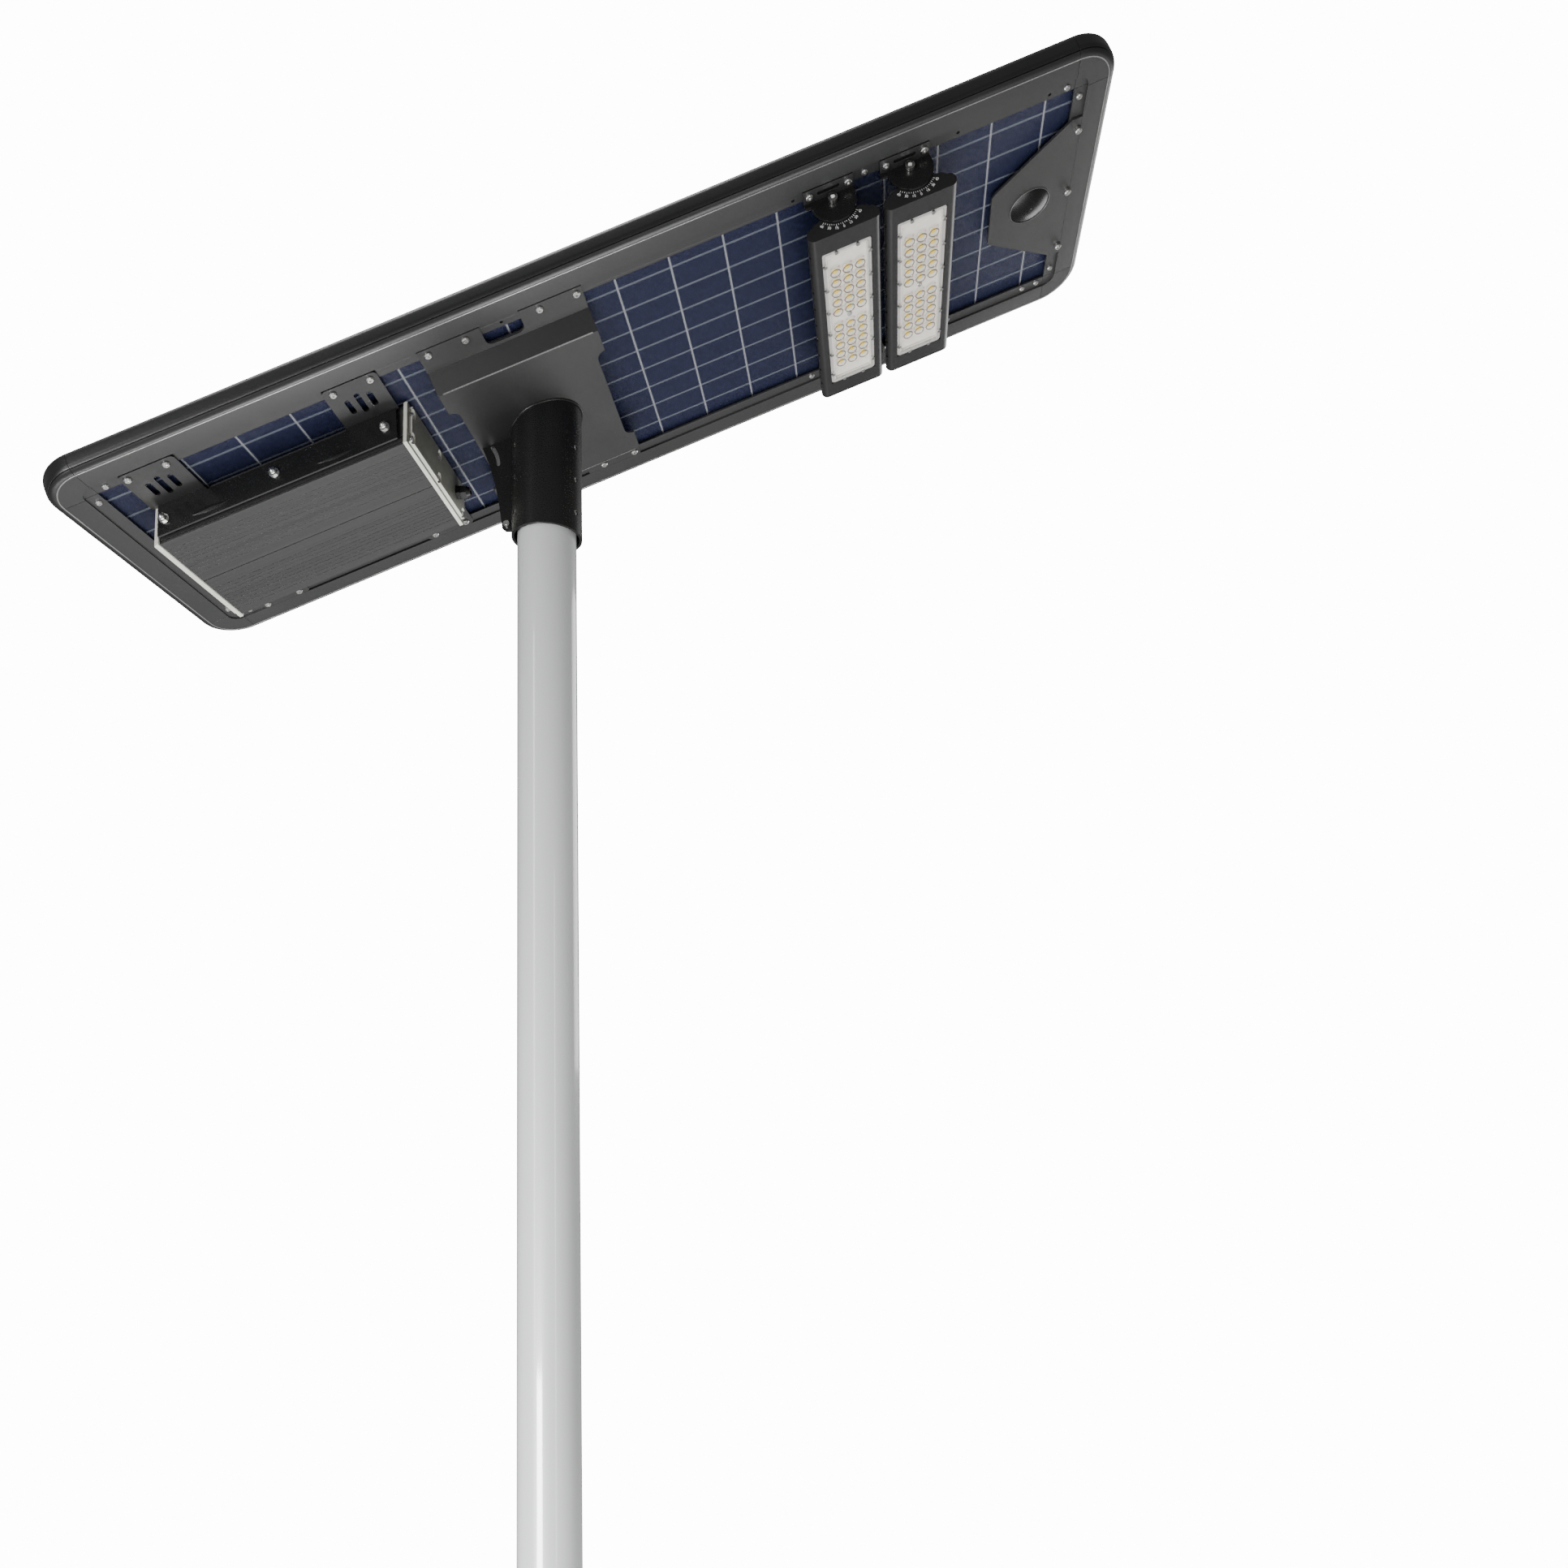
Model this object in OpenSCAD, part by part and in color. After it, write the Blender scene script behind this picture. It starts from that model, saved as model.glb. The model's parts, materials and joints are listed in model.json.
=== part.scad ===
// Solar street lamp: double-sided panel, battery pack and two tilting lamp modules on a pole.
// Panel parts are drawn in the panel's own frame: X along the panel towards the lamps and the
// sensor, Z out of its upper side, Z = 0 on the outer faces of the sheet brackets below it.

/* [Pole] */
// Height of the top of the pole above the ground
pole_h = 3000; // [1500:50:6000]
// Outer diameter of the pole
pole_d = 63.5; // [60:0.5:65]
// Wall of the pole tube
pole_t = 3; // [2:0.5:5]
// Side of the square base flange
flange_w = 280; // [240:10:400]
// Thickness of the base flange
flange_t = 14; // [10:1:25]
// Diameter of the circle through the anchor holes
anchor_pcd = 280; // [200:10:300]
// Diameter of an anchor hole
anchor_d = 18; // [12:1:24]
// Height of the gussets above the flange
rib_h = 110; // [60:10:160]

/* [Head] */
// Tilt of the panel from the horizontal
tilt = 20.6; // [12:0.1:24]
// Distance of the pole axis from the middle of the panel
axis_x = -86; // [-90:1:-82]
// Height of the bracket plane above the top of the pole, on the pole axis
head_gap = 39; // [36:1:60]

/* [Panel frame] */
// Length of the panel frame
panel_l = 1156; // [1150:1:1170]
// Width of the panel frame
panel_w = 364; // [362:1:370]
// Width of one rail, from its outer edge to the opening
rail_w = 45; // [44:0.5:46]
// Width of the rail's flat underside outside the step
face_w = 31; // [29:1:32]
// Width of the lip round the upper glass
lip_w = 19.5; // [17:0.5:21]
// Height of the top of the frame
frame_top = 24; // [23:0.5:26]
// Radius of the rounded outer edge
nose_r = 8; // [6:0.5:9]

/* [Saddle and sleeve] */
// Half length of the saddle across the panel
saddle_y = 150; // [148:1:151]
// Depth of the saddle's middle plate below its tabs
saddle_drop = 20; // [16:1:22]
// Outer diameter of the sleeve
sleeve_d = 76.1; // [74:0.1:78]
// Wall of the sleeve
sleeve_t = 3; // [2.5:0.5:4]
// Length of the sleeve below the bracket plane
sleeve_len = 158; // [150:1:175]

/* [Battery] */
// Depth of the battery pack below the bracket plane
pack_z = 38; // [34:1:42]
// Half width of the battery pack
pack_y = 84; // [80:1:85]
// Low edge of the outer end cap
pack_x0 = -520; // [-524:1:-516]
// Low edge of the inner end cap
pack_x1 = -229; // [-232:1:-226]

/* [Lamp modules] */
// Half length of a lamp housing
lamp_y = 131; // [128:1:131]
// Half width of a lamp housing
lamp_x = 39.5; // [36:0.5:39.5]
// Tilt axis of the outer module
lamp_a_x = 349; // [347:1:351]
// Distance between the two modules
lamp_pitch = 84.5; // [84:0.5:88]
// Depth of the tilt axis below the bracket plane
pivot_z = 6; // [6:0.5:8]
// Depth of the lamp faces below the bracket plane
lamp_z = 40; // [38:1:44]
// Turn of the outer module on its pivots
lamp_a_tilt = 0; // [-45:5:45]

/* [Sensor] */
// Middle of the sensor lens along the panel
sensor_x = 498; // [496:1:500]
// Diameter of the sensor lens
sensor_d = 46; // [40:1:48]

/* [Hidden] */
$fn = 64;
eps = 0.01;
sheet = 2.5;
wall = 2;
head_z = pole_h + head_gap;
face_z = 0.5;
flange_z = sheet;
glass_rear_z = 4.9;
rear_glass_t = 2.2;
cell_t = 0.5;
front_glass_t = 3.2;
front_glass_z = 19;
lip_t = 1.6;
shelf_z = 16;
chamber_w = 11;
pane_inset = 12;
lamp_b_x = lamp_a_x - lamp_pitch;
tab_a_x = 345.6;
tab_b_x = 262.4;
screw_y = 142.5;
screw_d = 4;
saddle_x0 = -182.5;
saddle_x1 = -4.8;
lean = 20.6;
SADDLE_XS = [-11.9, -52, -132.5, -172.9];
STRIP_XS = [-235.8, -275.9, -456.7, -498.1];
LAMP_TAB_XS = [for (c = [tab_a_x, tab_b_x], s = [-1, 1]) c + s * 20.9];
BRACKET_XS = concat(SADDLE_XS, STRIP_XS, LAMP_TAB_XS);
SMALL_SCREWS = concat(
    [for (x = [523.7, 302.5, -521.2], s = [-1, 1]) [x, s * screw_y]],
    [for (x = [505, 405, 225, -92]) [x, screw_y]],
    [for (x = [540, -540], s = [-1, 1]) [x, s * 125]]);
sensor_screw_x = panel_l / 2 - face_w - 4;
SENSOR_SCREWS = [for (y = [-85, 0, 85]) [sensor_screw_x, y]];
SET_ANGLES = [220, 340, 100];
SET_DROPS = [60, 98, 136];
PACK_NUT_XS = [-496, -372, -248];
LENS_XS = 27.5;
LENS_YS = 107.5;
LED_PITCH = 14;
LED_STEP = 15.5;
LED_GAP = 26;

// ---- placing and general shapes ----

module in_head() {
    translate([0, 0, head_z])
        rotate([0, -tilt, 0])
            translate([-axis_x, 0, 0])
                children();
}

module block(x0, x1, y0, y1, z0, z1) {
    translate([x0, y0, z0])
        cube([x1 - x0, y1 - y0, z1 - z0]);
}

module rod(x, y, z0, z1, d) {
    translate([x, y, z0])
        cylinder(h = z1 - z0, d = d);
}

module round_rect(l, w, r) {
    square([l - 2 * r, w], center = true);
    square([l, w - 2 * r], center = true);
    for (x = [-1, 1], y = [-1, 1])
        translate([x * (l / 2 - r), y * (w / 2 - r)])
            circle(r);
}

module pane(inset, z, t) {
    translate([0, 0, z])
        linear_extrude(t)
            round_rect(panel_l - 2 * inset, panel_w - 2 * inset, rail_w - inset);
}

module ring(inset, w, z, t) {
    difference() {
        pane(inset, z, t);
        pane(inset + w, z - 1, t + 2);
    }
}

module dome_screw(d_head, h_head, d_shank, l_shank, slot_w) {
    difference() {
        union() {
            translate([0, 0, -h_head + 1])
                cylinder(h = h_head - 1, d = d_head);
            translate([0, 0, -h_head])
                cylinder(h = 1, d1 = d_head - 2, d2 = d_head);
            translate([0, 0, -eps])
                cylinder(h = l_shank + eps, d = d_shank);
        }
        translate([0, 0, -h_head - 1])
            cylinder(h = 2.2, d = slot_w, $fn = 6);
    }
}

// ---- pole ----

module pole() {
    color("lightgray")
        difference() {
            rod(0, 0, flange_t, pole_h, pole_d);
            rod(0, 0, flange_t - 1, pole_h + 1, pole_d - 2 * pole_t);
        }
}

module base_flange() {
    color("lightgray")
        difference() {
            linear_extrude(flange_t)
                round_rect(flange_w, flange_w, 20);
            for (a = [45 : 90 : 315])
                rotate(a)
                    rod(anchor_pcd / 2, 0, -1, flange_t + 1, anchor_d);
            rod(0, 0, -1, flange_t + 1, pole_d - 2 * pole_t);
        }
}

module flange_gussets() {
    reach = flange_w / 2 - 16;
    color("lightgray")
        for (a = [0 : 90 : 270])
            rotate(a)
                translate([0, 3, flange_t])
                    rotate([90, 0, 0])
                        linear_extrude(6)
                            polygon([
                                [pole_d / 2, 0], [reach, 0], [reach, 12],
                                [pole_d / 2 + 12, rib_h], [pole_d / 2, rib_h]]);
}

module pole_plug() {
    color("black")
        union() {
            rod(0, 0, pole_h, pole_h + 2.5, pole_d - 1);
            rod(0, 0, pole_h - 18, pole_h + eps, pole_d - 2 * pole_t);
        }
}

// ---- panel frame ----

module rail_section() {
    h = frame_top - face_z;
    difference() {
        union() {
            // the rounded outer edges, cut off at the chamber's inner wall
            intersection() {
                union() {
                    translate([nose_r, face_z + nose_r])
                        circle(nose_r);
                    translate([nose_r, frame_top - nose_r])
                        circle(nose_r);
                    translate([0, face_z + nose_r])
                        square([chamber_w, h - 2 * nose_r]);
                }
                square([chamber_w, frame_top]);
            }
            translate([nose_r, face_z])
                square([chamber_w - nose_r, h]);
            translate([nose_r, face_z])
                square([face_w - nose_r, wall]);
            translate([face_w - wall, face_z])
                square([wall, 2 * wall]);
            translate([face_w - wall, flange_z])
                square([rail_w - face_w + wall, wall]);
            translate([nose_r, frame_top - lip_t])
                square([lip_w - nose_r, lip_t]);
            translate([nose_r, shelf_z])
                square([14, lip_t]);
        }
        translate([wall + 1, face_z + wall + 2])
            square([chamber_w - 2 * wall - 1, h - 2 * wall - 4]);
        translate([-1, 3.4])
            square([3.2, 0.9]);
    }
}

module small_holes() {
    for (p = SMALL_SCREWS)
        rod(p[0], p[1], 0, 6, 3.6);
}

module bracket_holes() {
    for (x = BRACKET_XS, s = [-1, 1])
        rod(x, s * screw_y, -4, 6, screw_d + 0.4);
}

module sensor_holes() {
    for (p = SENSOR_SCREWS)
        rod(p[0], p[1], -6, 6, screw_d + 0.4);
}

module side_rail() {
    l = panel_l - 2 * rail_w - 0.8;
    difference() {
        translate([-l / 2, -panel_w / 2, 0])
            rotate([90, 0, 90])
                linear_extrude(l)
                    rail_section();
        bracket_holes();
        for (s = [0, 1])
            mirror([0, s, 0])
                small_holes();
    }
}

module end_rail() {
    l = panel_w - 2 * rail_w - 0.8;
    translate([-panel_l / 2, l / 2, 0])
        rotate([90, 0, 0])
            linear_extrude(l)
                rail_section();
}

module corner_piece(sx, sy) {
    difference() {
        mirror([sx < 0 ? 0 : 1, 0, 0])
            mirror([0, sy < 0 ? 0 : 1, 0])
                translate([-panel_l / 2 + rail_w, -panel_w / 2 + rail_w, 0])
                    rotate(180)
                        rotate_extrude(angle = 90)
                            translate([rail_w, 0])
                                mirror([1, 0])
                                    rail_section();
        small_holes();
    }
}

module rail_near() {
    color("dimgray") in_head() side_rail();
}

module rail_far() {
    color("dimgray") in_head() mirror([0, 1, 0]) side_rail();
}

module rail_battery_end() {
    color("dimgray")
        in_head()
            difference() {
                end_rail();
                small_holes();
            }
}

module rail_sensor_end() {
    color("dimgray")
        in_head()
            difference() {
                mirror([1, 0, 0]) end_rail();
                small_holes();
                sensor_holes();
            }
}

module corner_battery_near() {
    color("dimgray") in_head() corner_piece(-1, -1);
}

module corner_battery_far() {
    color("dimgray") in_head() corner_piece(-1, 1);
}

module corner_sensor_near() {
    color("dimgray") in_head() corner_piece(1, -1);
}

module corner_sensor_far() {
    color("dimgray") in_head() corner_piece(1, 1);
}

module frame_screws() {
    color("silver")
        in_head()
            for (p = SMALL_SCREWS)
                translate([p[0], p[1], flange_z])
                    dome_screw(7, 2, 3.5, 2, 2.4);
}

// ---- solar panel ----

module front_glass() {
    color("azure", 0.4) in_head() pane(pane_inset, front_glass_z, front_glass_t);
}

module front_cells() {
    color("midnightblue") in_head() pane(pane_inset, front_glass_z - cell_t, cell_t);
}

module rear_cells() {
    color("midnightblue") in_head() pane(pane_inset, glass_rear_z + rear_glass_t, cell_t);
}

module rear_glass() {
    color("azure", 0.4) in_head() pane(pane_inset, glass_rear_z, rear_glass_t);
}

module laminate_seals() {
    color("black")
        in_head() {
            ring(14, 8, shelf_z + lip_t, front_glass_z - cell_t - shelf_z - lip_t);
            ring(33, 8, flange_z + wall, glass_rear_z - flange_z - wall);
        }
}

module panel_spacer() {
    z0 = glass_rear_z + rear_glass_t + cell_t;
    color("black") in_head() ring(13, 9, z0 + 0.1, shelf_z - z0 - 0.2);
}

module junction_box() {
    color("black")
        in_head()
            difference() {
                block(-340, -260, -35, 35, 10, front_glass_z - cell_t - 0.1);
                block(-338, -262, -33, 33, 12, front_glass_z);
            }
}

// ---- saddle and sleeve ----

module saddle_profile() {
    web_out = 118;
    web_in = 107;
    half = [
        [web_in, -saddle_drop], [web_out, 0], [saddle_y, 0], [saddle_y, sheet],
        [web_out - 1, sheet], [web_in - 1, sheet - saddle_drop]];
    polygon(concat(half, [for (i = [len(half) - 1 : -1 : 0]) [-half[i][0], half[i][1]]]));
}

module saddle_outline() {
    edge_in = 10;
    difference() {
        translate([saddle_x0, -saddle_y])
            square([saddle_x1 - saddle_x0, 2 * saddle_y]);
        // shallow recess in the middle of each end edge, with rounded ends
        for (x = [saddle_x0, saddle_x1])
            translate([x, 0])
                round_rect(2 * edge_in, 150, edge_in - eps);
        // notch between the two tabs on each side
        for (s = [-1, 1])
            translate([(saddle_x0 + saddle_x1) / 2, s * saddle_y])
                round_rect(42, 56, 8);
    }
}

module saddle() {
    color("dimgray")
        in_head()
            difference() {
                intersection() {
                    translate([saddle_x0, 0, 0])
                        rotate([90, 0, 90])
                            linear_extrude(saddle_x1 - saddle_x0)
                                saddle_profile();
                    translate([0, 0, -40])
                        linear_extrude(60)
                            saddle_outline();
                }
                bracket_holes();
            }
}

module below_saddle() {
    intersection() {
        children();
        in_head()
            block(-400, 200, -200, 200, -400, -saddle_drop);
    }
}

module sleeve() {
    color("darkslategray")
        below_saddle()
            difference() {
                rod(0, 0, head_z - sleeve_len, head_z + 20, sleeve_d);
                rod(0, 0, head_z - sleeve_len - 1, head_z + 21, sleeve_d - 2 * sleeve_t);
                for (a = SET_ANGLES, d = SET_DROPS)
                    translate([0, 0, head_z - d])
                        rotate([0, 90, a])
                            cylinder(h = sleeve_d, d = 6);
            }
}

module set_screws() {
    inner = pole_d / 2 + 0.3;
    color("silver")
        for (a = SET_ANGLES, d = SET_DROPS)
            translate([0, 0, head_z - d])
                rotate([0, 90, a])
                    difference() {
                        translate([0, 0, inner])
                            cylinder(h = sleeve_d / 2 - inner - 0.8, d = 6);
                        translate([0, 0, sleeve_d / 2 - 3])
                            cylinder(h = 4, d = 3.2, $fn = 6);
                    }
}

module arc_slot(r, w, a0, a1) {
    // slot of width w along a circle of radius r, from angle a0 to angle a1
    reach = 2 * r;
    intersection() {
        difference() {
            circle(r + w / 2);
            circle(r - w / 2);
        }
        polygon([[0, 0], [reach * cos(a0), reach * sin(a0)], [reach * cos(a1), reach * sin(a1)]]);
    }
    for (a = [a0, a1])
        rotate(a)
            translate([r, 0])
                circle(w / 2);
}

module gusset_fin() {
    // welded along the sleeve, narrowing towards its lower end
    fin_t = 4;
    weld_x = -sleeve_d / 2;
    color("black")
        below_saddle()
            translate([0, fin_t / 2, head_z])
                rotate([90, 0, 0])
                    linear_extrude(fin_t)
                        difference() {
                            polygon([
                                [weld_x, 0], [-80, 0], [-72.7, -44.6], [-63, -70],
                                [-57, -92], [-52.5, -118], [-50, -138], [-49.5, -143],
                                [-46, -146], [weld_x, -146]]);
                            translate([-93.8, -69.4])
                                arc_slot(40, 4.4, 3, 33);
                            translate([-44.2, -139])
                                circle(2);
                        }
}

module gusset_bolt() {
    bolt_l = 5;
    color("silver")
        translate([-44.2, 0, head_z - 139])
            rotate([90, 0, 0]) {
                translate([0, 0, -bolt_l])
                    cylinder(h = 2 * bolt_l, d = 3.9);
                for (z = [2.1, -4.6])
                    translate([0, 0, z])
                        cylinder(h = 2.5, d = 7);
            }
}

module bracket_screws() {
    color("silver")
        in_head()
            for (x = BRACKET_XS, s = [-1, 1])
                translate([x, s * screw_y, 0])
                    dome_screw(8, 2.6, screw_d, 4.4, 3.2);
}

// ---- battery pack ----

module lean_block(x0, x1, y0, y1, z0, z1) {
    // a block whose end faces lean with the pole axis; x0 and x1 are its ends at the pack's foot
    shift0 = (z0 + pack_z) * tan(lean);
    shift1 = (z1 + pack_z) * tan(lean);
    translate([0, y1, 0])
        rotate([90, 0, 0])
            linear_extrude(y1 - y0)
                polygon([[x0 + shift0, z0], [x1 + shift0, z0], [x1 + shift1, z1], [x0 + shift1, z1]]);
}

module pack_case_half() {
    rib_pitch = 6.5;
    cap = 8;
    port_l = 10;
    port_w = 12;
    over = 3;
    difference() {
        lean_block(pack_x0 + cap, pack_x1 - cap, -pack_y, -0.5, -pack_z + 1, 3.5);
        difference() {
            lean_block(pack_x0, pack_x1, -pack_y + 3, 1, -pack_z + 4, 1);
            // ports for the cap screws, at the corners and on the seam
            for (x = [pack_x0 + cap - over, pack_x1 - cap - port_l])
                for (y = [-pack_y + 1, -6], z = [-pack_z + 2, -11])
                    lean_block(x, x + port_l + over, y, y + port_w, z, z + port_w + 1);
        }
        cap_screw_holes();
        // shallow ribs on the face and grooves near the long edge
        for (i = [1 : 9])
            translate([0, -12 - i * rib_pitch, -pack_z])
                block(-600, -100, -0.7, 0.7, 0, 1.35);
        block(-600, -100, -pack_y - 1, -pack_y + 1.5, -30, -28);
        block(-600, -100, -pack_y - 1, -pack_y + 1.5, -35, -33.8);
    }
}

module pack_case_near() {
    color("dimgray") in_head() pack_case_half();
}

module pack_case_far() {
    color("dimgray") in_head() mirror([0, 1, 0]) pack_case_half();
}

module cap_plate(x_out, dir) {
    // flange of the end cap and its smaller raised middle; dir points out of the pack
    lip_y = pack_y + 3;
    in0 = x_out - dir * 7.6;
    mid = x_out - dir * 3.5;
    difference() {
        union() {
            lean_block(min(in0, mid), max(in0, mid), -lip_y, lip_y, -pack_z, 4.2);
            lean_block(min(mid, x_out), max(mid, x_out), -lip_y + 6, lip_y - 6, -pack_z + 3, 1);
        }
        cap_screw_holes();
        // notches in the raised middle that clear the screw heads
        cap_screw_places()
            translate([0, 0, -10])
                cylinder(h = 10, d = 11);
    }
}

module pack_cap_outer() {
    color("gainsboro") in_head() cap_plate(pack_x0, -1);
}

module pack_cap_inner() {
    color("gainsboro")
        in_head()
            difference() {
                cap_plate(pack_x1, 1);
                gland_axis()
                    cylinder(h = 60, d = 12.4, center = true);
            }
}

CAP_SCREW_YZ = [for (y = [-77, 0, 77], z = [-29.5, -4.5]) [y, z]];
cap_seat = 3.3;

module on_cap(x_foot, y, z) {
    // origin on the face that leans through x_foot, local Z square to it and towards the lamps
    translate([x_foot + (z + pack_z) * tan(lean), y, z])
        rotate([0, 90 + lean, 0])
            children();
}

module cap_screw_places() {
    // origin where a screw head sits on a cap's flange, local Z into the pack
    for (p = CAP_SCREW_YZ) {
        on_cap(pack_x1 - cap_seat, p[0], p[1])
            mirror([0, 0, 1])
                children();
        on_cap(pack_x0 + cap_seat, p[0], p[1])
            children();
    }
}

module cap_screw_holes() {
    cap_screw_places()
        translate([0, 0, -1])
            cylinder(h = 9.6, d = 4.1);
}

module cap_screws() {
    color("silver")
        in_head()
            cap_screw_places()
                dome_screw(7, 2.4, 4, 8, 3);
}

module cap_gaskets() {
    color("black")
        in_head()
            for (x = [pack_x0 + 7.8, pack_x1 - 8])
                difference() {
                    lean_block(x, x + 0.2, -pack_y + 1, pack_y - 1, -pack_z + 2, 3);
                    lean_block(x - 1, x + 1.2, -pack_y + 7, pack_y - 7, -pack_z + 8, -2);
                    cap_screw_holes();
                }
}

module battery_cells() {
    cell_d = 26;
    color("royalblue")
        in_head()
            for (x = [0 : 2], i = [0 : 4])
                translate([-485 + x * 72, -60 + i * 30, -19])
                    rotate([0, 90, 0])
                        cylinder(h = 66, d = cell_d);
}

module charge_board() {
    color("green")
        in_head() {
            block(-270, -252, -60, 60, -19, -17.4);
            for (y = [-40 : 20 : 40])
                block(-268, -256, y - 5, y + 5, -26, -19);
        }
}

module gland_axis() {
    on_cap(pack_x1, 56, -18)
        children();
}

module cable_gland() {
    color("black")
        in_head()
            gland_axis()
                difference() {
                    union() {
                        translate([0, 0, -12])
                            cylinder(h = 13, d = 12);
                        translate([0, 0, 0.8])
                            cylinder(h = 4, d = 17, $fn = 6);
                        translate([0, 0, 4.7])
                            cylinder(h = 5, d = 12);
                    }
                    translate([0, 0, -13])
                        cylinder(h = 30, d = 6);
                }
}

module gland_nut() {
    color("black")
        in_head()
            gland_axis()
                difference() {
                    union() {
                        translate([0, 0, 5.2])
                            cylinder(h = 7, d = 16, $fn = 6);
                        translate([0, 0, 12])
                            cylinder(h = 4, d1 = 14, d2 = 9);
                    }
                    translate([0, 0, 5])
                        cylinder(h = 5.2, d = 12.2);
                    translate([0, 0, 5])
                        cylinder(h = 14, d = 6);
                }
}

module strip_tab(x0, x1) {
    difference() {
        block(x0, x1, -150, -pack_y - 3.6, 0, sheet);
        for (x = [x0 - eps, x1 + eps])
            difference() {
                block(x - 5, x + 5, -151, -145, -1, sheet + 1);
                rod(x < (x0 + x1) / 2 ? x + 5 : x - 5, -145, -2, sheet + 2, 10);
            }
        for (i = [-1 : 1])
            translate([(x0 + x1) / 2 + i * 12, -116, -1])
                linear_extrude(sheet + 2)
                    round_rect(6, i == 0 ? 30 : 22, 3 - eps);
    }
}

module pack_strip() {
    y_out = -pack_y - 6.1;
    color("black")
        difference() {
            union() {
                translate([0, y_out + sheet, 0])
                    rotate([90, 0, 0])
                        linear_extrude(sheet)
                            polygon([[-509, -32], [-240, -32], [-229, sheet], [-497, sheet]]);
                strip_tab(-505, -445);
                strip_tab(-286, -227);
            }
            bracket_holes();
            for (x = PACK_NUT_XS)
                translate([x, y_out - 1, -16])
                    rotate([-90, 0, 0])
                        cylinder(h = 8, d = 5.3);
            // the upper edge between the tabs is cut down
            block(-444, -287, y_out - 1, y_out + 4, -3, sheet + 1);
        }
}

module strip_near() {
    in_head() pack_strip();
}

module strip_far() {
    in_head() mirror([0, 1, 0]) pack_strip();
}

module strip_nuts() {
    y_out = pack_y + 6.1;
    color("silver")
        in_head()
            for (x = PACK_NUT_XS, s = [0, 1])
                mirror([0, s, 0])
                    translate([x, -y_out, -16])
                        rotate([90, 0, 0]) {
                            translate([0, 0, -3.4])
                                cylinder(h = 8, d = 5);
                            cylinder(h = 1, d = 11);
                            translate([0, 0, 0.9])
                                cylinder(h = 4, d = 9, $fn = 6);
                            translate([0, 0, 4.5])
                                sphere(d = 7.4);
                        }
}

// ---- sensor ----

module plate_outline() {
    inner_x = 450;
    outer_x = panel_l / 2 - face_w - 0.5;
    polygon([
        [inner_x + 3, -38], [inner_x, -34], [inner_x, 34], [inner_x + 3, 38],
        [outer_x - 11, 99], [outer_x, 99], [outer_x, -99], [outer_x - 11, -99]]);
}

module sensor_plate() {
    color("dimgray")
        in_head()
            difference() {
                linear_extrude(sheet - 0.05)
                    plate_outline();
                rod(sensor_x, 0, -1, 4, sensor_d);
                sensor_holes();
            }
}

module sensor_lens() {
    dome_r = 60;
    color("black")
        in_head()
            intersection() {
                translate([sensor_x, 0, dome_r - 4.5])
                    sphere(dome_r, $fn = 96);
                rod(sensor_x, 0, -5, 1.5, sensor_d - 0.4);
            }
}

module sensor_cup() {
    color("black")
        in_head()
            difference() {
                rod(sensor_x, 0, 1.6, 4.6, sensor_d - 0.4);
                rod(sensor_x, 0, 1.5, 3.8, sensor_d - 4);
            }
}

module sensor_board() {
    color("green")
        in_head() {
            rod(sensor_x, 0, 2.7, 3.7, sensor_d - 5);
            rod(sensor_x, 0, 1.7, 2.75, 9);
        }
}

module sensor_screws() {
    color("silver")
        in_head()
            for (p = SENSOR_SCREWS)
                translate([p[0], p[1], -2]) {
                    dome_screw(8, 2.6, screw_d, 6.4, 3.2);
                    cylinder(h = 1.9, d = 8);
                }
}

// ---- lamp modules ----

module in_lamp(x, turn) {
    // origin on the tilt axis of a lamp module
    in_head()
        translate([x, 0, -pivot_z])
            rotate([0, turn, 0])
                children();
}

lamp_h = lamp_z - pivot_z;
back_h = 17;
edge_r = 7;
chamfer = 10;

module lamp_section() {
    // rounded lower edges, chamfered back
    polygon([
        [-lamp_x, -lamp_h + edge_r], [lamp_x, -lamp_h + edge_r],
        [lamp_x - chamfer, -back_h], [-lamp_x + chamfer, -back_h]]);
    translate([-lamp_x + edge_r, -lamp_h])
        square([2 * (lamp_x - edge_r), edge_r + eps]);
    for (s = [-1, 1])
        translate([s * (lamp_x - edge_r), -lamp_h + edge_r])
            circle(edge_r);
}

module lamp_ear() {
    // dial cheek: narrows from the housing's back up to the pivot
    ear_r = 9;
    for (s = [0, 1])
        mirror([s, 0])
            polygon([
                [-1, -back_h - 2], [lamp_x - chamfer, -back_h - 2], [lamp_x - chamfer, -back_h],
                [20, -back_h + 3], [ear_r, 0], [-1, 0]]);
    circle(ear_r);
}

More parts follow.
